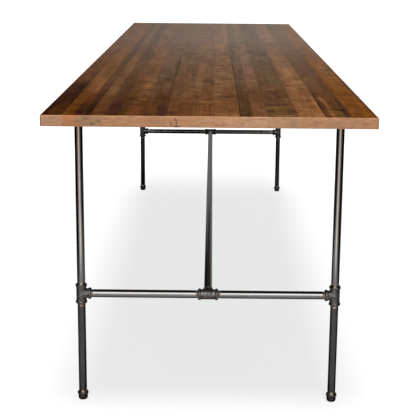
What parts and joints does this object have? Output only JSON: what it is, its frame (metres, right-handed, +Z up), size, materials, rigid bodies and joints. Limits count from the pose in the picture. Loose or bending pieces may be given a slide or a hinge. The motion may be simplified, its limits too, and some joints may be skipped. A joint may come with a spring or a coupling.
{
  "type": "butcher block table",
  "caption": "Long rectangular table: an edge-glued wood block top on two H-shaped end frames of threaded iron pipe tied by a stretcher pipe.",
  "frame": {"origin": "on the floor under the middle of the table", "axes": "+Z up, +Y along the table's length, +X across its width"},
  "size_m": [0.991, 3.658, 1.0255],
  "materials": {
    "wood": "satin dark stain",
    "pipe": "glossy black mill coating",
    "fitting": "black malleable iron, rough cast",
    "screw": "black phosphate"
  },
  "bodies": {
    "root": {"centre_tee_back": "fitting", "centre_tee_front": "fitting", "crossbar_back_left": "pipe", "crossbar_back_right": "pipe", "crossbar_front_left": "pipe", "crossbar_front_right": "pipe", "flange_screw_back_left_1": "screw", "flange_screw_back_left_2": "screw", "flange_screw_back_left_3": "screw", "flange_screw_back_left_4": "screw", "flange_screw_back_right_1": "screw", "flange_screw_back_right_2": "screw", "flange_screw_back_right_3": "screw", "flange_screw_back_right_4": "screw", "flange_screw_front_left_1": "screw", "flange_screw_front_left_2": "screw", "flange_screw_front_left_3": "screw", "flange_screw_front_left_4": "screw", "flange_screw_front_right_1": "screw", "flange_screw_front_right_2": "screw", "flange_screw_front_right_3": "screw", "flange_screw_front_right_4": "screw", "floor_flange_back_left": "fitting", "floor_flange_back_right": "fitting", "floor_flange_front_left": "fitting", "floor_flange_front_right": "fitting", "foot_cap_back_left": "fitting", "foot_cap_back_right": "fitting", "foot_cap_front_left": "fitting", "foot_cap_front_right": "fitting", "leg_tee_back_left": "fitting", "leg_tee_back_right": "fitting", "leg_tee_front_left": "fitting", "leg_tee_front_right": "fitting", "lower_leg_back_left": "pipe", "lower_leg_back_right": "pipe", "lower_leg_front_left": "pipe", "lower_leg_front_right": "pipe", "stretcher": "pipe", "top_stave_01": "wood", "top_stave_02": "wood", "top_stave_03": "wood", "top_stave_04": "wood", "top_stave_05": "wood", "top_stave_06": "wood", "top_stave_07": "wood", "top_stave_08": "wood", "top_stave_09": "wood", "top_stave_10": "wood", "top_stave_11": "wood", "top_stave_12": "wood", "top_stave_13": "wood", "top_stave_14": "wood", "top_stave_15": "wood", "top_stave_16": "wood", "upper_leg_back_left": "pipe", "upper_leg_back_right": "pipe", "upper_leg_front_left": "pipe", "upper_leg_front_right": "pipe"}
  },
  "joints": []
}
